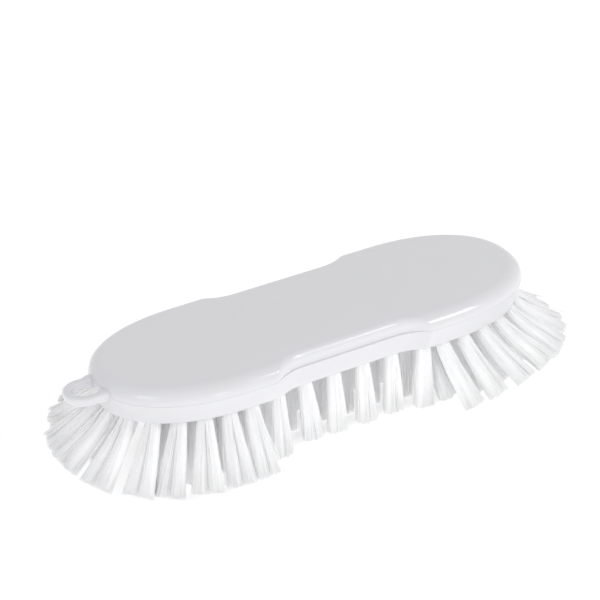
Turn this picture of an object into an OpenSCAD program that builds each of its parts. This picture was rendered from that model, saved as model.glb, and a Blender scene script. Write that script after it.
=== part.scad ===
// Scrubbing brush with a waisted, one-piece moulded block, a moulded hanging
// eye and splayed filament tufts, each held in its hole by a flat wire staple.
// Millimetres. +X runs along the brush away from the eye, +Z up.
// Origin: under the middle of the block, on the plane of the trimmed tips.

/* [Block] */
// Length of the block, without the hanging eye
block_l = 190; // [180:1:210]
// Width across the two round lobes
block_w = 65; // [62:0.5:74]
// Thickness of the block
block_t = 14.2; // [13:0.1:18]
// Length of the rounded end of each lobe
end_l = 49.7; // [45:0.1:52]
// Fullness of the rounded ends (2 is a plain ellipse)
end_power = 2.2; // [2:0.05:2.5]
// Height of the mould parting step above the underside
parting_h = 8.4; // [7:0.1:9]
// How far the lobes' lower wall is drafted in at the underside
lobe_draft = 1.6; // [0.8:0.1:2]
// How far the waist's lower wall is drafted in at the underside
waist_draft = 0.4; // [0.1:0.1:0.8]
// Width of the small chamfer round the underside
under_edge = 0.5; // [0.2:0.1:0.8]

/* [Waist] */
// Width of the grip at the waist, below the parting step
waist_w = 56; // [52:0.5:60]
// Distance between the corners where the waist meets the lobes
waist_l = 70.4; // [60:0.1:80]
// Length of each hollow run from a corner to the straight grip
waist_ease = 15.2; // [10:0.1:20]
// Steepness of the hollow run
waist_power = 2.2; // [1.8:0.1:3]
// Width of the parting step in the waist
waist_step = 0.75; // [0.4:0.05:1.2]
// Width of the faint parting line on the lobes
lobe_step = 0.12; // [0.05:0.01:0.3]
// Rise of the parting step, sloped so that the mould lets go
step_rise = 0.15; // [0.1:0.05:0.3]

/* [Top edge] */
// Height of the lobes' soft top edge
lobe_round_h = 5.2; // [4:0.1:5.5]
// Width of the lobes' soft top edge
lobe_round_w = 5.8; // [4:0.1:8]
// Radius of the waist's tighter top edge
waist_round = 3; // [2:0.1:4]

/* [Hanging eye] */
// Outer radius of the eye
eye_r = 7.6; // [7:0.1:9]
// Width of the eye's bar
eye_bar_w = 3.3; // [2.6:0.1:3.6]
// Height of the eye's bar
eye_bar_h = 3.7; // [3:0.1:5]
// Radius on the edges of the bar
eye_bar_edge = 1.1; // [0.6:0.1:1.3]
// Distance from the block's end to the centre of the eye's arc
eye_out = 5.7; // [4:0.1:8]

/* [Tufts] */
// Diameter of the tuft holes
hole_d = 5.8; // [5:0.1:6.2]
// Depth of the tuft holes along their axes
hole_depth = 9.5; // [8:0.1:10]
// Gap between a packed tuft root and the wall of its hole
root_gap = 0.04; // [0.02:0.01:0.1]
// Free length of the filaments
filament_l = 31.4; // [28:0.1:40]
// Height of the underside above the plane the tips are trimmed to
under_z = 30.4; // [27:0.1:31]
// Diameter of one half-bundle at its tip
half_tip_d = 6.6; // [5.6:0.1:6.8]
// Distance between the two half-bundles of a tuft at the tips
half_part = 2.7; // [1.6:0.1:3]
// Distance between the two half-bundles at the hole's mouth
half_mouth = 1.2; // [0.8:0.1:1.6]
// How far the packed root runs on past the mouth
mouth_lap = 1; // [0.5:0.1:1.5]
// Distance from the edge of the underside to the outer row of holes
edge_margin = 5.2; // [4.5:0.1:6]
// Distance between one row of holes and the next
row_gap = 10.9; // [10:0.1:12]

/* [Layout] */
// Distance from the last waist hole to the first hole of a lobe's ring
waist_gap = 10.2; // [9.8:0.1:11]
// How far the near row is shifted one way and the far row the other
row_shift = 2; // [1:0.1:2.2]
// Distance from a waist corner to the first hole of a lobe's ring
lobe_gap = 8.3; // [8:0.1:10]

/* [Splay] */
// Splay of the outer tufts at the very ends of the brush, in degrees
end_splay = 49; // [44:1:52]
// Splay of the outer tufts half way round the left lobe, on its near side
left_lobe_splay = 36; // [30:1:44]
// The same on its far side, where they are pressed further out
left_far_splay = 54; // [44:1:56]
// Splay of the outer tufts beside the waist on the left lobe
left_side_splay = 22; // [18:1:30]
// Splay of the outer tufts half way round the right lobe
right_lobe_splay = 56; // [40:1:58]
// Splay of the outer tufts beside the waist on the right lobe
right_side_splay = 32; // [24:1:38]
// How far the tufts half way round the left lobe turn towards its end, near side
left_lobe_turn = 20; // [0:1:24]
// The same on its far side
left_far_turn = 28; // [10:1:30]
// How far the tufts half way round the right lobe turn towards its end
right_lobe_turn = 6; // [0:1:12]
// How far the tufts beside the waist on the right lobe turn towards its end
right_side_turn = 20; // [0:1:24]
// Lean of the two outer waist rows towards the right lobe
waist_lean = 5; // [2:1:6]
// Share of the splay that the hole itself is drilled at
hole_share = 0.6; // [0.4:0.05:0.8]
// Share of the splay in the inner ring of a lobe
inner_share = 0.7; // [0.6:0.05:0.75]

/* [Staples] */
// Thickness of the flat staple wire
wire_t = 0.4; // [0.3:0.05:0.5]
// Width of the flat staple wire
wire_w = 1.8; // [1.2:0.1:2.2]
// How far each end of a staple bites into the wall of its hole
wire_bite = 0.6; // [0.3:0.1:0.7]
// Height of the filaments' fold over the staple
fold_h = 1.4; // [1:0.1:2]

/* [Hidden] */
outer_side = 6;   // outer tufts each side of the one at a lobe's very end
inner_side = 4;   // the same in a lobe's inner ring
core_count = 3;   // tufts on the middle line of a lobe
waist_count = 6;  // tufts in each waist row
arc_steps = 15;   // outline steps round a quarter of the block's end
ease_steps = 7;   // outline steps along a hollow run
round_steps = 8;  // steps up the soft top edge
path_steps = 60;  // steps along a row's path when its holes are spaced
bore_fn = 48;

end_x = block_l / 2 - end_l;
half_w = block_w / 2;
top_w = waist_w / 2 - waist_step;
eye_x = -(block_l / 2 + eye_out);
root_r = hole_d / 2 - root_gap;
outer_d = lobe_draft + edge_margin;
inner_d = outer_d + row_gap;
lobe_x = waist_l / 2 + lobe_gap;
waist_pitch = 2 * (lobe_x - waist_gap) / (waist_count - 1);

LOBES = ["left", "right"];
SIDES = ["near", "far"];
function two(i) = i < 10 ? str("0", i) : str(i);
function outer_name(lobe, i) = str(lobe, "_outer_tuft_", two(i));
function waist_name(side, i) = str(side, "_waist_tuft_", i);
outer_last = 2 * outer_side + 1;

// ---- Outline of the block ----

// A point on a lobe's rounded end, drawn in by d; a = 0 at the tip, 90 at the side.
function end_point(a, d) = [
    end_x + (end_l - d) * pow(cos(a), 2 / end_power),
    (half_w - d) * pow(sin(a), 2 / end_power)
];

// A point of the waist's hollow run, q = 1 at the corner and 0 at the grip.
function ease_point(q, w, d) = [
    waist_l / 2 - waist_ease * (1 - q),
    w - d + (half_w - w) * pow(q, waist_power)
];

// q of the corner, where the hollow run drawn in by dw meets the lobe drawn in by dl.
function corner_q(w, dl, dw) = pow((half_w - w - dl + dw) / (half_w - w), 1 / waist_power);

// A quarter of the outline, from the tip of the +X end to the middle of the waist.
function quarter(w, dl, dw) = concat(
    [for (i = [0:arc_steps]) end_point(90 * i / arc_steps, dl)],
    [for (i = [0:ease_steps]) ease_point(corner_q(w, dl, dw) * (1 - i / ease_steps), w, dw)]
);

function turned(p, sx, sy) = [for (v = p) [sx * v[0], sy * v[1]]];
function backward(p) = [for (i = [len(p) - 1:-1:0]) p[i]];

// The +Y half of the outline, from the +X tip to the -X tip.
function half_outline(w, dl, dw) = concat(
    quarter(w, dl, dw),
    turned(backward(quarter(w, dl, dw)), -1, 1)
);

// One closed level of the block: [height, waist half width, lobe inset, waist inset].
function level_points(v) =
    let (h = half_outline(v[1], v[2], v[3]), n = len(h))
    [for (p = concat(h, turned([for (i = [n - 2:-1:1]) h[i]], 1, -1))) [p[0], p[1], v[0]]];

// How far a round of height h and width w has come in at t below its top.
function round_in(t, h, w) = t >= h ? 0 : w * (1 - sqrt(1 - pow(1 - t / h, 2)));

LEVELS = concat(
    [
        [0, waist_w / 2, lobe_draft + under_edge, waist_draft + under_edge],
        [under_edge, waist_w / 2, lobe_draft, waist_draft],
        [parting_h, waist_w / 2, 0, 0],
        [parting_h + step_rise, top_w, lobe_step, 0]
    ],
    [
        for (i = [0:round_steps])
            let (t = lobe_round_h * (1 - sin(90 * i / round_steps)))
            [
                block_t - t, top_w,
                lobe_step + round_in(t, lobe_round_h, lobe_round_w),
                round_in(t, waist_round, waist_round)
            ]
    ]
);

module block_body() {
    rings = [for (v = LEVELS) level_points(v)];
    n = len(rings[0]);
    last = len(rings) - 1;
    m = n / 2;
    walls = [
        for (k = [0:last - 1]) for (i = [0:n - 1])
            [k * n + i, (k + 1) * n + i, (k + 1) * n + (i + 1) % n, k * n + (i + 1) % n]
    ];
    // The caps are strips across the block, between points that face each other.
    under = [for (i = [0:m - 1]) i == 0 ? [0, 1, n - 1]
        : i == m - 1 ? [m - 1, m, m + 1]
        : [i, i + 1, n - i - 1, n - i]];
    cap = [for (f = under) [for (j = [len(f) - 1:-1:0]) last * n + f[j]]];
    polyhedron(points = [for (r = rings) for (p = r) p], faces = concat(walls, under, cap));
}

// ---- Hanging eye ----

module eye_section() {
    square([eye_bar_w - 2 * eye_bar_edge, eye_bar_h], center = true);
    square([eye_bar_w, eye_bar_h - 2 * eye_bar_edge], center = true);
    for (sx = [-1, 1]) for (sy = [-1, 1])
        translate([sx * (eye_bar_w / 2 - eye_bar_edge), sy * (eye_bar_h / 2 - eye_bar_edge)])
            circle(r = eye_bar_edge, $fn = 24);
}

module hanging_eye() {
    mid_r = eye_r - eye_bar_w / 2;
    leg_l = eye_out + eye_r;
    translate([eye_x, 0, parting_h]) {
        rotate([0, 0, 90])
            rotate_extrude(angle = 180, $fn = 64)
                translate([mid_r, 0]) eye_section();
        for (s = [-1, 1])
            translate([0, s * mid_r, 0])
                rotate([90, 0, 90]) linear_extrude(leg_l) eye_section();
    }
}

// ---- Where the tufts are ----
// A tuft's place is [x, y, outward x, outward y, splay, sideways lean]: the middle of its
// hole's mouth, the level direction it splays in, how far it splays and how far it leans
// across that direction.

// Half width of a lobe at x, drawn in by d.
function lobe_half(x, d) =
    x <= end_x ? half_w - d
    : (half_w - d) * pow(1 - pow((x - end_x) / (end_l - d), end_power), 1 / end_power);

// Half width of the underside at x, along the waist and into a lobe.
function under_half(x) =
    let (q = max(0, 1 - (waist_l / 2 - abs(x)) / waist_ease))
    min(half_w - lobe_draft, ease_point(q, waist_w / 2, waist_draft)[1]);

// Points with the distance along them in front: [distance, x, y].
function measured(p, i = 0, s = 0) =
    i >= len(p) ? []
    : concat(
        [[s, p[i][0], p[i][1]]],
        measured(p, i + 1, i + 1 < len(p) ? s + norm(p[i + 1] - p[i]) : s)
    );

// The path of a lobe's ring of holes, from its tip round to where the lobe starts.
function ring_path(d) = measured(concat(
    [for (i = [0:path_steps]) let (p = end_point(90 * i / path_steps, d)) if (p[0] > lobe_x) p],
    [[lobe_x, lobe_half(lobe_x, d)]]
));

function path_x(path, s) = lookup(s, [for (p = path) [p[0], p[1]]]);
function path_y(path, s) = lookup(s, [for (p = path) [p[0], p[2]]]);

// Splay and turn in a lobe's outer ring, from 0 at the end of the brush to 1 by the waist.
function splay_at(lobe, far, q) =
    lobe == "right" ? lookup(q, [[0, end_splay], [0.5, right_lobe_splay], [1, right_side_splay]])
    : lookup(q, [[0, end_splay], [0.5, far ? left_far_splay : left_lobe_splay], [1, left_side_splay]]);
function turn_at(lobe, far, q) =
    lobe == "right" ? lookup(q, [[0, 0], [0.5, right_lobe_turn], [1, right_side_turn]])
    : lookup(q, [[0, 0], [0.5, far ? left_far_turn : left_lobe_turn], [1, 0]]);

// The k-th place in a lobe's ring of 2 * side + 1 holes, with share of the outer splay.
// The left lobe is the right one mirrored.
function ring_place(lobe, d, side, k, share) =
    let (
        path = ring_path(d),
        step = path[len(path) - 1][0] / side,
        s = abs(k) * step,
        t = [path_x(path, s + step / 4), path_y(path, s + step / 4)]
            - [path_x(path, s - step / 4), path_y(path, s - step / 4)],
        q = abs(k) / side,
        a = k == 0 ? 0 : atan2(-t[0], t[1]) - turn_at(lobe, k > 0, q),
        sx = lobe == "left" ? -1 : 1,
        sy = k < 0 ? -1 : 1
    )
    [
        sx * path_x(path, s), sy * path_y(path, s),
        sx * cos(a), sy * sin(a),
        share * splay_at(lobe, k > 0, q), 0
    ];

function outer_place(lobe, i) = ring_place(lobe, outer_d, outer_side, i - 1 - outer_side, 1);
function inner_places(lobe) =
    [for (k = [-inner_side:inner_side]) ring_place(lobe, inner_d, inner_side, k, inner_share)];

// The holes along the middle line of a lobe, between the waist's and the inner ring's.
function core_places(lobe) =
    let (
        from = lobe_x - waist_gap,
        to = block_l / 2 - inner_d,
        sx = lobe == "left" ? -1 : 1
    )
    [for (k = [1:core_count]) [sx * (from + (to - from) * k / (core_count + 1)), 0, sx, 0, 0, 0]];

// The k-th hole of a waist row: row 2 is the far one, -2 the near one.
function waist_place(row, k) =
    let (
        shift = -row_shift * row / 2,
        x = waist_pitch * (k - (waist_count + 1) / 2) + shift,
        y = under_half(x) - edge_margin - row_gap * (2 - abs(row)),
        s = row < 0 ? -1 : 1
    )
    [x, sign(row) * y, 0, s, 0, abs(row) == 2 ? s * waist_lean : 0];
function waist_places(row) = [for (k = [1:waist_count]) waist_place(row, k)];

ALL_HOLES = concat(
    [for (lobe = LOBES) for (i = [1:outer_last]) outer_place(lobe, i)],
    [for (lobe = LOBES) for (p = concat(inner_places(lobe), core_places(lobe))) p],
    [for (row = [-2:2]) for (p = waist_places(row)) p]
);

// Stands at a hole's mouth, with -Z leaning by this share of the tuft's splay and lean.
module at_mouth(p, share) {
    translate([p[0], p[1], under_z])
        rotate([0, 0, atan2(p[3], p[2])])
            rotate([-share * p[5], -share * p[4], 0])
                children();
}

// ---- Staples ----

module staple_wire() {
    translate([0, 0, hole_depth - fold_h - wire_w / 2])
        cube([hole_d + 2 * wire_bite, wire_t, wire_w], center = true);
}

module staples() {
    color("silver")
        for (p = ALL_HOLES) at_mouth(p, hole_share) staple_wire();
}

// ---- Tufts ----

// The two half-bundles of a doubled-over tuft, from just inside the mouth to the tips.
module half_bundles() {
    part_angle = atan((half_part - half_mouth) / 2 / filament_l);
    top_r = root_r - half_mouth / 2;
    for (s = [-1, 1])
        translate([0, s * half_mouth / 2, 0])
            rotate([s * part_angle, 0, 0])
                translate([0, 0, -filament_l])
                    cylinder(h = filament_l + root_r, d1 = half_tip_d, r2 = top_r, $fn = bore_fn);
}

module tuft(p) {
    color("white")
        difference() {
            union() {
                at_mouth(p, hole_share)
                    translate([0, 0, -mouth_lap])
                        cylinder(h = hole_depth + mouth_lap, r = root_r, $fn = bore_fn);
                difference() {
                    at_mouth(p, 1) half_bundles();
                    translate([-block_l, -block_w, under_z]) cube([2 * block_l, 2 * block_w, block_t]);
                }
            }
            at_mouth(p, hole_share) staple_wire();
            translate([-block_l, -block_w, -block_t]) cube([2 * block_l, 2 * block_w, block_t]);
        }
}

module tufts(places) {
    for (p = places) tuft(p);
}

// ---- Block ----

module block() {
    color("whitesmoke")
        difference() {
            translate([0, 0, under_z]) {
                block_body();
                hanging_eye();
            }
            for (p = ALL_HOLES) at_mouth(p, hole_share) {
                translate([0, 0, -hole_d])
                    cylinder(h = hole_depth + hole_d, d = hole_d, $fn = bore_fn);
                staple_wire();
            }
        }
}

block();
staples();
for (lobe = LOBES) for (i = [1:outer_last])
    tuft(outer_place(lobe, i));
for (s = [0, 1]) for (k = [1:waist_count])
    tuft(waist_place(4 * s - 2, k));
for (lobe = LOBES)
    tufts(inner_places(lobe));
for (lobe = LOBES)
    tufts(core_places(lobe));
for (s = [0, 1])
    tufts(waist_places(2 * s - 1));
tufts(waist_places(0));  // centre_waist_tufts
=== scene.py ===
"""A waisted hand scrubbing brush: a moulded white block with a hanging eye, and
eighty tufts of stiff filament, each anchored in its hole by a flat wire staple.

Metres, in the frame's own axes: +X along the brush away from the eye, +Z up, and
the plane of the trimmed tips at z = 0.
"""

import math
import random
from collections import namedtuple

import bmesh
import bpy
import numpy as np
from mathutils import Matrix, Vector


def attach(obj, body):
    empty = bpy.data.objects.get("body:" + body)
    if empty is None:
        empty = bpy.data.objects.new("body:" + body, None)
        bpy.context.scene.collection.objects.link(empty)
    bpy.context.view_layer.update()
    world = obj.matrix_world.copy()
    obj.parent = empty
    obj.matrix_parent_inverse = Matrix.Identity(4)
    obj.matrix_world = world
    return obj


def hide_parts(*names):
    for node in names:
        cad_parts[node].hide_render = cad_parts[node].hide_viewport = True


MM = 0.001
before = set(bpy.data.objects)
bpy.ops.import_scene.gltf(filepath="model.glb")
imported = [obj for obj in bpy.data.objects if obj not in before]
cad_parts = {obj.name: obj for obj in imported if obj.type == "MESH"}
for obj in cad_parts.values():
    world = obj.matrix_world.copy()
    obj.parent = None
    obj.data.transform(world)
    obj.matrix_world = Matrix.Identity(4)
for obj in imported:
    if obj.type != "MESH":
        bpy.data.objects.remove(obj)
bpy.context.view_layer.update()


# ---- Camera ----
# A long lens on a stand, looking down on the brush from its near left corner.

CAMERA_AZIMUTH = math.radians(-32.06)
CAMERA_ELEVATION = math.radians(31.22)
CAMERA_DISTANCE = 0.95
CAMERA_LENS_MM = 144.6
CAMERA_SHIFT = (-0.0198, 0.0680)
CAMERA_TARGET = Vector((0, 0, 0.0292))


def away(azimuth, elevation):
    """The level and raised direction from which a view at these angles looks."""
    flat = math.cos(elevation)
    return Vector((math.sin(azimuth) * flat, -math.cos(azimuth) * flat, math.sin(elevation)))


camera = bpy.data.objects.new("camera", bpy.data.cameras.new("camera"))
bpy.context.collection.objects.link(camera)
camera.location = CAMERA_TARGET + CAMERA_DISTANCE * away(CAMERA_AZIMUTH, CAMERA_ELEVATION)
camera.rotation_euler = (math.radians(90) - CAMERA_ELEVATION, 0, CAMERA_AZIMUTH)
camera.data.lens = CAMERA_LENS_MM
camera.data.shift_x, camera.data.shift_y = CAMERA_SHIFT
bpy.context.scene.camera = camera


# ---- The moulded block ----
# One injection moulding of white polypropylene: a long oval with a waist for the hand,
# a soft top edge, and a parting step half way up its side where the mould halves met.

BLOCK_HALF_L = 95 * MM
BLOCK_HALF_W = 32.5 * MM
BLOCK_T = 14.2 * MM
END_L = 49.7 * MM
END_POWER = 2.2
END_X = BLOCK_HALF_L - END_L
PARTING_H = 8.4 * MM
LOBE_DRAFT, WAIST_DRAFT = 1.6 * MM, 0.4 * MM
WAIST_HALF_W = 28 * MM
WAIST_HALF_L = 35.2 * MM
WAIST_EASE = 15.2 * MM
WAIST_POWER = 2.2
STEP_W, STEP_ROUND = 0.75 * MM, 0.12 * MM
LOBE_STEP = 0.12 * MM
LOBE_ROUND_H, LOBE_ROUND_W = 5.2 * MM, 5.8 * MM
WAIST_ROUND = 3 * MM
UNDER_EDGE = 0.5 * MM
CORNER_SOFT = 0.9 * MM
CORNER_STEPS = 6
EDGE_STEPS, SOFT_EDGE_STEPS = 3, 16
UNDER_Z = 30.4 * MM
QUARTER_TURN = math.pi / 2


def linear(hex_colour):
    """An sRGB hex colour as linear RGBA."""
    srgb = [int(hex_colour[i:i + 2], 16) / 255 for i in (1, 3, 5)]
    return [c / 12.92 if c <= 0.04045 else ((c + 0.055) / 1.055) ** 2.4 for c in srgb] + [1]


def add_node(tree, kind, settings=(), links=()):
    """A node with its settings, {socket or attribute: value}, and links, {socket: output}."""
    node = tree.nodes.new(kind)
    for name, value in dict(settings).items():
        if isinstance(name, str) and hasattr(node, name):
            setattr(node, name, value)
        else:
            node.inputs[name].default_value = value
    for name, output in dict(links).items():
        tree.links.new(output, node.inputs[name])
    return node


def new_material(name):
    """An empty material: its node tree and its output node."""
    material = bpy.data.materials.new(name)
    material.use_nodes = True
    material.node_tree.nodes.clear()
    return material, material.node_tree, add_node(material.node_tree, "ShaderNodeOutputMaterial")


def end_point(angle, inset):
    """A point on a lobe's rounded end: angle 0 at the tip, a quarter turn at the side."""
    return (
        END_X + (END_L - inset) * math.cos(angle) ** (2 / END_POWER),
        (BLOCK_HALF_W - inset) * math.sin(angle) ** (2 / END_POWER),
    )


def hollow_point(q, half_width, inset):
    """A point on the hollow run of the waist: q is 1 at the corner and 0 at the grip."""
    return (
        WAIST_HALF_L - WAIST_EASE * (1 - q),
        half_width - inset + (BLOCK_HALF_W - half_width) * q ** WAIST_POWER,
    )


def quarter_outline(half_width, lobe_inset, waist_inset, end_steps=40, hollow_steps=18):
    """A quarter of the block's outline from the tip of one end to the middle of the waist."""
    rise = BLOCK_HALF_W - half_width
    corner_q = ((rise - lobe_inset + waist_inset) / rise) ** (1 / WAIST_POWER)
    points = [
        end_point(min(QUARTER_TURN * i / end_steps, QUARTER_TURN), lobe_inset)
        for i in range(end_steps + 1)
    ]
    corner = Vector(hollow_point(corner_q, half_width, waist_inset))
    before = Vector((corner.x + CORNER_SOFT, corner.y))
    hollow = [
        Vector(hollow_point(corner_q * (1 - i / hollow_steps), half_width, waist_inset))
        for i in range(1, hollow_steps + 1)
    ]
    after = corner + (hollow[0] - corner).normalized() * CORNER_SOFT
    for i in range(CORNER_STEPS + 1):
        t = i / CORNER_STEPS
        points.append(tuple(before * (1 - t) ** 2 + corner * 2 * t * (1 - t) + after * t * t))
    points += [tuple(p) for p in hollow if (p - corner).length > CORNER_SOFT * 1.2]
    middle_x = points[-1][0]
    points += [(middle_x * (1 - i / 4), points[-1][1]) for i in range(1, 4)]
    return points


def outline(half_width, lobe_inset, waist_inset):
    """The closed outline at one level of the block."""
    quarter = quarter_outline(half_width, lobe_inset, waist_inset)
    half = quarter + [(0, quarter[-1][1])] + [(-x, y) for x, y in reversed(quarter)]
    return half + [(x, -y) for x, y in reversed(half[1:-1])]


def round_in(below, height, width):
    """How far a rounded edge has come in at this depth below its top."""
    return 0 if below >= height else width * (1 - math.sqrt(max(0, 1 - (1 - below / height) ** 2)))


def block_levels():
    """Heights above the underside, each with its waist half width and its two insets."""
    for i in range(EDGE_STEPS + 1):
        a = QUARTER_TURN * i / EDGE_STEPS
        rise, inset = UNDER_EDGE * (1 - math.cos(a)), UNDER_EDGE * (1 - math.sin(a))
        share = 1 - rise / PARTING_H
        yield rise, WAIST_HALF_W, LOBE_DRAFT * share + inset, WAIST_DRAFT * share + inset
    for share in (0.6, 0.2, 0.06):
        yield PARTING_H * (1 - share), WAIST_HALF_W, LOBE_DRAFT * share, WAIST_DRAFT * share
    for i in range(EDGE_STEPS + 1):
        a = QUARTER_TURN * i / EDGE_STEPS
        inset = STEP_ROUND * (1 - math.cos(a))
        yield PARTING_H - STEP_ROUND * (1 - math.sin(a)), WAIST_HALF_W, min(inset, LOBE_STEP), inset
    yield PARTING_H + 0.1 * STEP_ROUND, WAIST_HALF_W - STEP_W + STEP_ROUND, LOBE_STEP, 0
    yield PARTING_H + 0.4 * STEP_ROUND, WAIST_HALF_W - STEP_W + 0.3 * STEP_ROUND, LOBE_STEP, 0
    yield PARTING_H + STEP_ROUND, WAIST_HALF_W - STEP_W, LOBE_STEP, 0
    for i in range(SOFT_EDGE_STEPS + 1):
        below = LOBE_ROUND_H * (1 - math.sin(QUARTER_TURN * i / SOFT_EDGE_STEPS))
        lobe = LOBE_STEP + round_in(below, LOBE_ROUND_H, LOBE_ROUND_W)
        yield BLOCK_T - below, WAIST_HALF_W - STEP_W, lobe, round_in(below, WAIST_ROUND, WAIST_ROUND)


def quads_between(rings, count):
    """The walls between each ring of points and the next, with this many points in a ring."""
    faces = []
    for k in range(rings - 1):
        for i in range(count):
            j = (i + 1) % count
            faces.append((k * count + i, k * count + j, (k + 1) * count + j, (k + 1) * count + i))
    return faces


def block_mesh():
    """The block's skin: one ring of points per level, with flat caps laid in strips."""
    rings = []
    for height, half_width, lobe_inset, waist_inset in block_levels():
        rings.append([(x, y, UNDER_Z + height) for x, y in outline(half_width, lobe_inset, waist_inset)])
    count = len(rings[0])
    half = count // 2
    faces = quads_between(len(rings), count)
    top = (len(rings) - 1) * count
    for i in range(half):
        # The strips at the two tips are triangles, with one point named twice.
        strip = list(dict.fromkeys([i, i + 1, count - i - 1, (count - i) % count]))
        faces.append(strip[::-1])
        faces.append([top + j for j in strip])
    mesh = bpy.data.meshes.new("block_skin")
    mesh.from_pydata([p for ring in rings for p in ring], [], faces)
    return mesh


def new_object(name, mesh):
    """A named object, linked into the scene."""
    thing = bpy.data.objects.new(name, mesh)
    bpy.context.collection.objects.link(thing)
    return thing


block = new_object("moulded_block", block_mesh())

EYE_R = 7.6 * MM
EYE_BAR_W, EYE_BAR_H = 3.3 * MM, 3.7 * MM
EYE_EDGE = 1.1 * MM
EYE_X = -(BLOCK_HALF_L + 5.7 * MM)
EYE_MID_R = EYE_R - EYE_BAR_W / 2
EYE_FOOT, EYE_FOOT_W, EYE_FOOT_H = 1.1 * MM, 1.45, 1.25
EYE_ROOT_X = -BLOCK_HALF_L + 1.6 * MM
LEG_STEPS, BOW_STEPS, EDGE_ARC_STEPS = 10, 32, 5


def eye_section():
    """The bar's cross-section, a rounded rectangle, as offsets across and up."""
    points = []
    for k, (sx, sy) in enumerate([(1, 1), (-1, 1), (-1, -1), (1, -1)]):
        for i in range(EDGE_ARC_STEPS + 1):
            a = QUARTER_TURN * (k + i / EDGE_ARC_STEPS)
            points.append((
                sx * (EYE_BAR_W / 2 - EYE_EDGE) + EYE_EDGE * math.cos(a),
                sy * (EYE_BAR_H / 2 - EYE_EDGE) + EYE_EDGE * math.sin(a),
            ))
    return points


def eye_mesh():
    """The eye: legs that flare where they grow out of the block, and a half-round bow."""
    path = []
    for i in range(LEG_STEPS):
        x = EYE_ROOT_X + (EYE_X - EYE_ROOT_X) * i / LEG_STEPS
        path.append((Vector((x, EYE_MID_R, 0)), Vector((0, 1, 0)), x))
    for i in range(BOW_STEPS + 1):
        a = QUARTER_TURN + math.pi * i / BOW_STEPS
        out = Vector((math.cos(a), math.sin(a), 0))
        path.append((Vector((EYE_X, 0, 0)) + out * EYE_MID_R, out, EYE_X))
    for i in range(1, LEG_STEPS + 1):
        x = EYE_X + (EYE_ROOT_X - EYE_X) * i / LEG_STEPS
        path.append((Vector((x, -EYE_MID_R, 0)), Vector((0, -1, 0)), x))
    section = eye_section()
    points = []
    for centre, out, x in path:
        past_foot = min(0, x + BLOCK_HALF_L)
        flare = 1 + (EYE_FOOT_W - 1) * math.exp(-(past_foot / EYE_FOOT) ** 2 / 2)
        for across, up in section:
            z = UNDER_Z + PARTING_H + up * min(flare, EYE_FOOT_H)
            points.append(centre + out * across * flare + Vector((0, 0, z)))
    n = len(section)
    faces = quads_between(len(path), n)
    faces.append(list(reversed(range(n))))
    faces.append([(len(path) - 1) * n + i for i in range(n)])
    mesh = bpy.data.meshes.new("eye_skin")
    mesh.from_pydata([tuple(p) for p in points], [], faces)
    return mesh


eye = new_object("hanging_eye", eye_mesh())


# ---- Where the tufts stand ----
# The block is drilled in rows: a ring round each lobe whose holes lean outwards, upright
# rows along the waist, an inner ring, and a few holes down the middle of each lobe.

HOLE_R = 2.9 * MM
HOLE_DEPTH = 9.5 * MM
EDGE_MARGIN = 5.2 * MM
ROW_GAP = 10.9 * MM
LOBE_GAP, WAIST_GAP = 8.3 * MM, 10.2 * MM
LOBE_X = WAIST_HALF_L + LOBE_GAP
OUTER_INSET = LOBE_DRAFT + EDGE_MARGIN
INNER_INSET = OUTER_INSET + ROW_GAP
OUTER_SIDE, INNER_SIDE, CORE_COUNT, WAIST_COUNT = 6, 4, 3, 6
WAIST_END = LOBE_X - WAIST_GAP
WAIST_PITCH, ROW_SHIFT = 2 * WAIST_END / (WAIST_COUNT - 1), 2 * MM
HOLE_SHARE, INNER_SHARE = 0.6, 0.7
WAIST_LEAN = math.radians(5)
FILAMENT_L, INNER_EXTRA = 31.4 * MM, 2.6 * MM
FAN_SHARE, FAN_LEAST, FAN_MOST = 0.9, 9.8 * MM, 17 * MM
# Splay and turn towards the lobe's end, in degrees: at the tip, half way round, by the waist.
SPLAYS = {"near left": (49, 36, 22), "far left": (49, 54, 22), "right": (49, 56, 32)}
TURNS = {"near left": (0, 20, 0), "far left": (0, 28, 0), "right": (0, 6, 20)}
RING_STEPS, DRILL_SIDES = 60, 28

# A tuft's place: its hole, how it leans out and across, its spread at the tips and its length.
Place = namedtuple("Place", "x y out splay across fan length")


def lobe_half_width(x, inset):
    """Half the width of a lobe at x, drawn in by the inset."""
    run = max(0, (x - END_X) / (END_L - inset))
    return (BLOCK_HALF_W - inset) * (1 - min(1, run) ** END_POWER) ** (1 / END_POWER)


def under_half_width(x):
    """Half the width of the underside at x."""
    q = max(0, 1 - (WAIST_HALF_L - abs(x)) / WAIST_EASE)
    return min(BLOCK_HALF_W - LOBE_DRAFT, hollow_point(q, WAIST_HALF_W, WAIST_DRAFT)[1])


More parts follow.
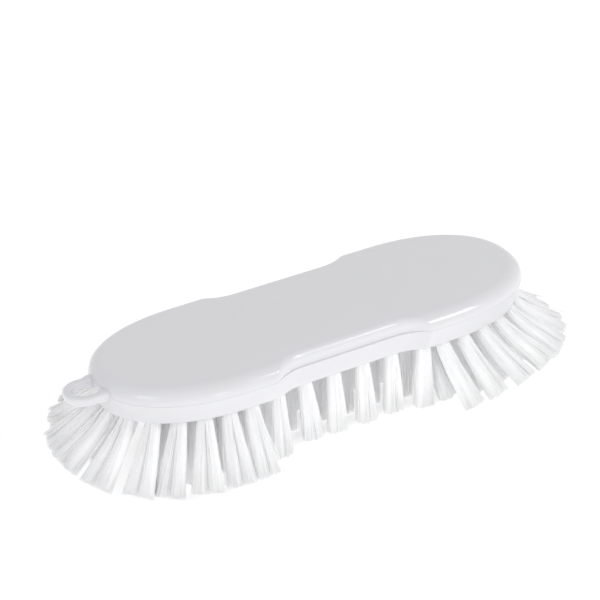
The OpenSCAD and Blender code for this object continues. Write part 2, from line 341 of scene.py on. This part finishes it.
def ring_places(lobe, inset, side, share):
    """A lobe's ring of holes: evenly spaced from its last near hole round to its last far one."""
    arc = [end_point(QUARTER_TURN * i / RING_STEPS, inset) for i in range(RING_STEPS + 1)]
    path = [p for p in arc if p[0] > LOBE_X] + [(LOBE_X, lobe_half_width(LOBE_X, inset))]
    path = np.array(path)
    along = np.concatenate([[0], np.cumsum(np.linalg.norm(np.diff(path, axis=0), axis=1))])
    step = along[-1] / side
    end = -1 if lobe == "left" else 1
    stands, tips = [], []
    for k in range(-side, side + 1):
        s, q, mirror = abs(k) * step, abs(k) / side, -1 if k < 0 else 1
        x, y = np.interp(s, along, path[:, 0]), np.interp(s, along, path[:, 1])
        ahead, behind = s + step / 4, s - step / 4
        tx = np.interp(ahead, along, path[:, 0]) - np.interp(behind, along, path[:, 0])
        ty = np.interp(ahead, along, path[:, 1]) - np.interp(behind, along, path[:, 1])
        part = "right" if lobe == "right" else "near left" if k < 0 else "far left"
        turn = math.radians(np.interp(q, (0, 0.5, 1), TURNS[part]))
        heading = 0 if k == 0 else math.atan2(-tx, ty) - turn
        out = Vector((end * math.cos(heading), mirror * math.sin(heading), 0))
        splay = share * math.radians(np.interp(q, (0, 0.5, 1), SPLAYS[part]))
        length = FILAMENT_L
        if share < 1:
            length = min(UNDER_Z / math.cos(splay), FILAMENT_L + INNER_EXTRA)
        stands.append((end * x, mirror * y, out, splay, length))
        tips.append(Vector((end * x, mirror * y, 0)) + out * length * math.sin(splay))
    places = []
    gaps = [(b - a).length for a, b in zip(tips, tips[1:])]
    for stand, before, after in zip(stands, gaps[:1] + gaps, gaps + gaps[-1:]):
        x, y, out, splay, length = stand
        fan = min(FAN_MOST, max(FAN_LEAST, FAN_SHARE * (before + after) / 2))
        places.append(Place(x, y, out, splay, 0, fan, length))
    return places


def core_places(lobe):
    """The holes down the middle of a lobe."""
    last, end = BLOCK_HALF_L - INNER_INSET, -1 if lobe == "left" else 1
    step = (last - WAIST_END) / (CORE_COUNT + 1)
    return [
        Place(end * (WAIST_END + step * k), 0, Vector((end, 0, 0)), 0, 0, FAN_LEAST, FILAMENT_L)
        for k in range(1, CORE_COUNT + 1)
    ]


def waist_places(row):
    """A row across the waist, from -2, nearest the camera, to 2."""
    places = []
    side = -1 if row < 0 else 1
    lean_across = side * WAIST_LEAN if abs(row) == 2 else 0
    for k in range(WAIST_COUNT):
        x = WAIST_PITCH * (k - (WAIST_COUNT - 1) / 2) - ROW_SHIFT * row / 2
        y = under_half_width(x) - EDGE_MARGIN - ROW_GAP * (2 - abs(row))
        out = Vector((0, side, 0))
        places.append(Place(x, side * y if row else 0, out, 0, lean_across, FAN_LEAST, FILAMENT_L))
    return places


tuft_groups = {}
for lobe in ("left", "right"):
    for i, place in enumerate(ring_places(lobe, OUTER_INSET, OUTER_SIDE, 1), 1):
        tuft_groups[f"{lobe}_outer_tuft_{i:02d}"] = [place]
    tuft_groups[f"{lobe}_inner_tufts"] = ring_places(lobe, INNER_INSET, INNER_SIDE, INNER_SHARE)
    tuft_groups[f"{lobe}_core_tufts"] = core_places(lobe)
for side, row in (("near", -2), ("far", 2)):
    for k, place in enumerate(waist_places(row), 1):
        tuft_groups[f"{side}_waist_tuft_{k}"] = [place]
    tuft_groups[f"{side}_inner_waist_tufts"] = waist_places(row // 2)
tuft_groups["centre_waist_tufts"] = waist_places(0)


def lean(out, splay, across=0):
    """The direction that a tuft's filaments point: down, outwards, and a little across that."""
    down = out * math.sin(splay) - Vector((0, 0, math.cos(splay)))
    return down * math.cos(across) + Vector((out.y, -out.x, 0)) * math.sin(across)


def drill_holes(target):
    """Cuts every tuft's blind hole into the block from below."""
    cutter = bmesh.new()
    for places in tuft_groups.values():
        for x, y, out, splay, across, *_ in places:
            axis = lean(out, HOLE_SHARE * splay, HOLE_SHARE * across)
            turn = (-axis).to_track_quat("Z", "X").to_matrix().to_4x4()
            length = HOLE_DEPTH + 2 * HOLE_R
            middle = Vector((x, y, UNDER_Z)) - axis * (length / 2 - 2 * HOLE_R)
            bmesh.ops.create_cone(
                cutter, cap_ends=True, segments=DRILL_SIDES, radius1=HOLE_R, radius2=HOLE_R,
                depth=length, matrix=Matrix.Translation(middle) @ turn,
            )
    mesh = bpy.data.meshes.new("drills")
    cutter.to_mesh(mesh)
    cutter.free()
    drills = new_object("drills", mesh)
    cut = target.modifiers.new("holes", "BOOLEAN")
    cut.object, cut.operation, cut.solver = drills, "DIFFERENCE", "EXACT"
    bpy.context.view_layer.update()
    drilled = target.evaluated_get(bpy.context.evaluated_depsgraph_get())
    cut_mesh = bpy.data.meshes.new_from_object(drilled)
    target.modifiers.clear()
    target.data = cut_mesh
    bpy.data.objects.remove(drills)


def moulded_polypropylene():
    """White polypropylene from a polished mould: glossy and milky.

    A sink ripple about 9 mm wide and a half-millimetre grain soften its reflections.
    """
    material, tree, output = new_material("gloss_moulded_polypropylene")
    place = add_node(tree, "ShaderNodeTexCoord")
    on_body = {"Vector": place.outputs["Object"]}
    ripple = add_node(tree, "ShaderNodeTexNoise", {"Scale": 1 / (9 * MM), "Detail": 2}, on_body)
    grain = add_node(tree, "ShaderNodeTexNoise", {"Scale": 1 / (0.5 * MM), "Detail": 3}, on_body)
    height = add_node(
        tree, "ShaderNodeMath", {"operation": "MULTIPLY_ADD", 1: 0.04},
        {0: grain.outputs["Fac"], 2: ripple.outputs["Fac"]},
    )
    bump = add_node(
        tree, "ShaderNodeBump", {"Strength": 0.12, "Distance": 0.3 * MM}, {"Height": height.outputs[0]},
    )
    tone = add_node(tree, "ShaderNodeMix", {"data_type": "RGBA"}, {"Factor": ripple.outputs["Fac"]})
    tone.inputs[6].default_value = linear("#D9D9DB")
    tone.inputs[7].default_value = linear("#DCDCDE")
    rough = add_node(
        tree, "ShaderNodeMapRange", {"To Min": 0.1, "To Max": 0.15}, {"Value": grain.outputs["Fac"]},
    )
    shader = add_node(
        tree, "ShaderNodeBsdfPrincipled", {"IOR": 1.49},
        {"Base Color": tone.outputs[2], "Roughness": rough.outputs[0], "Normal": bump.outputs[0]},
    )
    tree.links.new(shader.outputs[0], output.inputs["Surface"])
    return material


drill_holes(block)
polypropylene = moulded_polypropylene()
for piece in (block, eye):
    piece.data.materials.clear()
    piece.data.materials.append(polypropylene)
    piece.data.shade_smooth()
    piece.data.set_sharp_from_angle(angle=math.radians(50))
    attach(piece, "root")
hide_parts("block")
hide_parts("block")


# ---- Staples ----
# A flat steel wire across the fold of every tuft, pressed into the wall of its hole. They
# stay as the frame has them, out of sight under the filaments.


def bright_wire():
    """Drawn flat steel wire: bright, and a little dulled in patches of 0.3 mm."""
    material, tree, output = new_material("drawn_steel_wire")
    place = add_node(tree, "ShaderNodeTexCoord")
    lines = add_node(
        tree, "ShaderNodeTexNoise", {"Scale": 1 / (0.3 * MM), "Detail": 2},
        {"Vector": place.outputs["Object"]},
    )
    rough = add_node(
        tree, "ShaderNodeMapRange", {"To Min": 0.25, "To Max": 0.4}, {"Value": lines.outputs["Fac"]},
    )
    shader = add_node(
        tree, "ShaderNodeBsdfPrincipled", {"Base Color": linear("#C6C8CA"), "Metallic": 1},
        {"Roughness": rough.outputs[0]},
    )
    tree.links.new(shader.outputs[0], output.inputs["Surface"])
    return material


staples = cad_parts["staples"]
staples.data.materials.clear()
staples.data.materials.append(bright_wire())


# ---- Tufts ----
# Each tuft is a bundle of stiff white filament, doubled over its staple, so it leaves the
# hole as two half-bundles that part a little towards the trimmed tips.

FILAMENT_R = 0.2 * MM
LEGS_PER_TUFT = 180
ROOT_CLEAR = 0.04 * MM
ROOT_R = HOLE_R - ROOT_CLEAR - FILAMENT_R
ROOT_DEPTH = 0.8 * HOLE_DEPTH
HALF_TIP_R, HALF_FAN_SHARE = 3.1 * MM, 0.28
KNEE = 0.25
SIDES = 5
STATIONS = (0, 0.15, 0.35, 0.6, 1)
GOLDEN_ANGLE = math.pi * (3 - math.sqrt(5))
# How unevenly the tufts stand and are trimmed, and the few filaments that stray.
TUFT_SHORT, LEG_SHORT, TIP_SHIFT = 1.1 * MM, 0.35 * MM, 0.16 * MM
SPLAY_ERROR, ACROSS_ERROR = math.radians(1.2), math.radians(1.5)
STRAYS, STRAY_SHIFT, STRAY_SHORT = 0.03, 1.2 * MM, 2 * MM
# The solid middle of a half-bundle: its share of the width at the tip, how far it ends short
# of the tips, and its half widths at the root as shares of the root's radius.
CORE_SIDES, CORE_SHARE, CORE_SHORT = 14, 0.92, 1.3 * MM
CORE_ROOT_W, CORE_ROOT_D = 0.8, 0.45


class Stance:
    """How one tuft stands: its mouth, and its directions at the root and at the tips."""

    def __init__(self, place, draw):
        out, splay, across = place.out, place.splay, place.across
        self.length = place.length - draw.uniform(0, TUFT_SHORT)
        self.half_w = max(HALF_TIP_R, HALF_FAN_SHARE * place.fan)
        self.part = place.fan / 2 - FILAMENT_R - self.half_w
        self.mouth = Vector((place.x, place.y, UNDER_Z))
        self.root_axis = lean(out, HOLE_SHARE * splay, HOLE_SHARE * across)
        own_splay = draw.gauss(splay, SPLAY_ERROR)
        self.tip_axis = lean(out, own_splay, draw.gauss(across, ACROSS_ERROR))
        self.level = Vector((-out.y, out.x, 0))
        self.root_out = self.root_axis.cross(self.level).normalized()
        self.tip_out = self.tip_axis.cross(self.level).normalized()

    def curve(self, start, tip, clear):
        """Points from the mouth to the tip, which stays clear of the table."""
        if tip.z < clear:
            tip = start + (tip - start) * (start.z - clear) / (start.z - tip.z)
        fanned = (tip - start).dot(self.level)
        knee = start + (self.root_axis * FILAMENT_L + self.level * fanned) * KNEE
        return [start * (1 - t) ** 2 + knee * 2 * t * (1 - t) + tip * t * t for t in STATIONS]


def filament_paths(stance, draw):
    """The centre lines of one tuft's filaments, from the fold down to the tips."""
    paths = []
    for i in range(LEGS_PER_TUFT):
        # Two legs in three stand near the outside of the bundle, and the third anywhere in it.
        reach = ((i + 0.5) / LEGS_PER_TUFT) ** (0.55 if i % 3 == 0 else 0.22)
        turn = i * GOLDEN_ANGLE
        u, v = reach * math.cos(turn), reach * math.sin(turn)
        side = 1 if v > 0 else -1
        # Spreads each half disc of the root over a whole round half-bundle at the tips.
        half_v = side * (2 * abs(v) / math.sqrt(max(1e-6, 1 - u * u)) - 1) * math.sqrt(1 - u * u)
        tip_u = u * HALF_TIP_R + draw.gauss(0, TIP_SHIFT)
        tip_v = side * stance.part + half_v * stance.half_w + draw.gauss(0, TIP_SHIFT)
        length = stance.length - abs(draw.gauss(0, LEG_SHORT))
        if draw.random() < STRAYS:
            tip_u += draw.gauss(0, STRAY_SHIFT)
            tip_v += draw.gauss(0, STRAY_SHIFT)
            length -= draw.uniform(0, STRAY_SHORT)
        start = stance.mouth + (stance.root_out * u + stance.level * v) * ROOT_R
        tip = stance.mouth + stance.tip_axis * length + stance.tip_out * tip_u + stance.level * tip_v
        curve = stance.curve(start, tip, draw.uniform(1, 2.5) * FILAMENT_R)
        paths.append([start - stance.root_axis * ROOT_DEPTH] + curve)
    return np.array(paths)


def core_rings(stance):
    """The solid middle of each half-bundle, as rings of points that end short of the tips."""
    rings = []
    lift = CORE_SHORT + CORE_SHARE * HALF_TIP_R * stance.tip_axis.xy.length
    for side in (-1, 1):
        start = stance.mouth + stance.level * side * CORE_ROOT_D * ROOT_R
        tip = stance.mouth + stance.tip_axis * (stance.length - CORE_SHORT)
        tip += stance.level * side * stance.part
        for t, centre in zip(STATIONS, stance.curve(start, tip, lift)):
            wide = CORE_ROOT_W * ROOT_R * (1 - t) + CORE_SHARE * HALF_TIP_R * t
            deep = CORE_ROOT_D * ROOT_R * (1 - t) + CORE_SHARE * stance.half_w * t
            out = stance.root_out.lerp(stance.tip_out, t)
            for k in range(CORE_SIDES):
                a = 2 * math.pi * k / CORE_SIDES
                rings.append(centre + out * wide * math.cos(a) + stance.level * deep * math.sin(a))
    return rings


def ring_walls(ids):
    """The quads between each ring of points and the next: ids is [tube, ring, side]."""
    ahead = np.roll(ids, -1, axis=2)
    walls = np.stack([ids[:, :-1], ahead[:, :-1], ahead[:, 1:], ids[:, 1:]], axis=-1)
    return walls.reshape(-1, 4).tolist()


def ring_ends(ids):
    """The flat faces that close each tube."""
    return ids[:, 0, ::-1].tolist() + ids[:, -1].tolist()


# A direction that no filament runs along, to start each one's section from.
ACROSS_ALL = (0.31, 0.95, 0.02)


def tuft_mesh(name, paths, cores):
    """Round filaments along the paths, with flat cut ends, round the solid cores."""
    count, rings = paths.shape[:2]
    heading = np.gradient(paths, axis=1)
    heading /= np.linalg.norm(heading, axis=2, keepdims=True)
    first = np.cross(heading, ACROSS_ALL)
    first /= np.linalg.norm(first, axis=2, keepdims=True)
    second = np.cross(heading, first)
    turn = 2 * np.pi * np.arange(SIDES) / SIDES
    wall = np.cos(turn)[:, None] * first[:, :, None] + np.sin(turn)[:, None] * second[:, :, None]
    points = (paths[:, :, None] + FILAMENT_R * wall).reshape(-1, 3)
    ids = np.arange(len(points)).reshape(count, rings, SIDES)
    core_ids = len(points) + np.arange(len(cores)).reshape(-1, len(STATIONS), CORE_SIDES)
    walls = ring_walls(ids) + ring_walls(core_ids)
    ends = ring_ends(ids) + ring_ends(core_ids)
    mesh = bpy.data.meshes.new(name)
    mesh.from_pydata(points.tolist() + [tuple(p) for p in cores], [], walls + ends)
    smooth = np.ones(len(walls) + len(ends), dtype=bool)
    smooth[len(walls):] = False
    mesh.polygons.foreach_set("use_smooth", smooth)
    return mesh


def pbt_filament():
    """Extruded PBT filament: milky white and satin, and it lets a little light through.

    Its tone changes faintly over 1.1 mm, about three filaments, and from tuft to tuft.
    """
    material, tree, output = new_material("extruded_pbt_filament")
    place = add_node(tree, "ShaderNodeTexCoord")
    strand = add_node(
        tree, "ShaderNodeTexNoise", {"Scale": 1 / (1.1 * MM), "Detail": 1},
        {"Vector": place.outputs["Object"]},
    )
    tuft = add_node(tree, "ShaderNodeObjectInfo")
    share = add_node(
        tree, "ShaderNodeMath", {"operation": "MULTIPLY_ADD", 1: 0.5},
        {0: tuft.outputs["Random"], 2: strand.outputs["Fac"]},
    )
    tone = add_node(tree, "ShaderNodeMix", {"data_type": "RGBA"}, {"Factor": share.outputs[0]})
    tone.inputs[6].default_value = linear("#F9F9FA")
    tone.inputs[7].default_value = linear("#FEFEFE")
    rough = add_node(
        tree, "ShaderNodeMapRange", {"To Min": 0.3, "To Max": 0.42}, {"Value": strand.outputs["Fac"]},
    )
    skin = add_node(
        tree, "ShaderNodeBsdfPrincipled", {"IOR": 1.55},
        {"Base Color": tone.outputs[2], "Roughness": rough.outputs[0]},
    )
    body = add_node(tree, "ShaderNodeBsdfTranslucent", {}, {"Color": tone.outputs[2]})
    both = add_node(tree, "ShaderNodeMixShader", {0: 0.08}, {1: skin.outputs[0], 2: body.outputs[0]})
    tree.links.new(both.outputs[0], output.inputs["Surface"])
    return material


filament = pbt_filament()
for number, (node, places) in enumerate(tuft_groups.items()):
    draw = random.Random(500 + number)
    stances = [Stance(place, draw) for place in places]
    paths = np.concatenate([filament_paths(stance, draw) for stance in stances])
    cores = [point for stance in stances for point in core_rings(stance)]
    tuft = new_object(f"{node}_filaments", tuft_mesh(node, paths, cores))
    tuft.data.materials.append(filament)
    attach(tuft, "root")
    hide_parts(node)


# ---- Studio ----
# A white table and soft lamps, so that the white plastic reads by its shading alone.

FLOOR_SIZE = 6.0


def seen(tree):
    """Is 1 for rays from the camera, the gloss or glass, and 0 for rays that gather light."""
    rays = add_node(tree, "ShaderNodeLightPath")
    share = rays.outputs["Is Camera Ray"]
    for kind in ("Is Glossy Ray", "Is Transmission Ray"):
        share = add_node(
            tree, "ShaderNodeMath", {"operation": "MAXIMUM"}, {0: share, 1: rays.outputs[kind]},
        ).outputs[0]
    return share


def table_top():
    """An opal white table, softly lit from within, that still takes the brush's shadow."""
    material, tree, output = new_material("opal_white_table")
    level = add_node(tree, "ShaderNodeMapRange", {"To Min": 0.6, "To Max": 0.34}, {"Value": seen(tree)})
    matt = add_node(tree, "ShaderNodeBsdfDiffuse", {"Color": linear("#EDEDED")})
    glow = add_node(tree, "ShaderNodeEmission", {"Color": [1, 1, 1, 1]}, {"Strength": level.outputs[0]})
    both = add_node(tree, "ShaderNodeAddShader", {}, {0: matt.outputs[0], 1: glow.outputs[0]})
    tree.links.new(both.outputs[0], output.inputs["Surface"])
    return material


bpy.ops.mesh.primitive_plane_add(size=FLOOR_SIZE)
table = bpy.context.object
table.name = "table_top"
table.data.materials.append(table_top())

world = bpy.data.worlds.new("studio")
bpy.context.scene.world = world
world.use_nodes = True
sky = world.node_tree
sky.nodes.clear()
white = add_node(sky, "ShaderNodeBackground", {"Color": [1, 1, 1, 1], "Strength": 1.0})
soft = add_node(sky, "ShaderNodeBackground", {"Color": linear("#F4F4F6"), "Strength": 0.79})
choice = add_node(
    sky, "ShaderNodeMixShader", {}, {0: seen(sky), 1: soft.outputs[0], 2: white.outputs[0]},
)
add_node(sky, "ShaderNodeOutputWorld", {}, {"Surface": choice.outputs[0]})


def softbox(name, azimuth, elevation, distance, size, power):
    """A square white lamp that faces the brush."""
    lamp = bpy.data.lights.new(name, "AREA")
    lamp.size, lamp.energy = size, power
    holder = new_object(name, lamp)
    toward = away(math.radians(azimuth), math.radians(elevation))
    holder.location = CAMERA_TARGET + distance * toward
    holder.rotation_euler = toward.to_track_quat("Z", "Y").to_euler()


softbox("key_softbox", 42, 34, 1.2, 0.36, 2.6)
softbox("low_softbox", 6, 10, 1.2, 0.13, 0.45)
softbox("fill_softbox", -58, 34, 1.3, 0.5, 1.9)

bpy.context.scene.view_settings.view_transform = "Standard"

# White filaments pass light on to each other many times before it fades.
bpy.context.scene.cycles.max_bounces = 24
bpy.context.scene.cycles.diffuse_bounces = 16
bpy.context.scene.cycles.transmission_bounces = 24

bpy.context.view_layer.update()
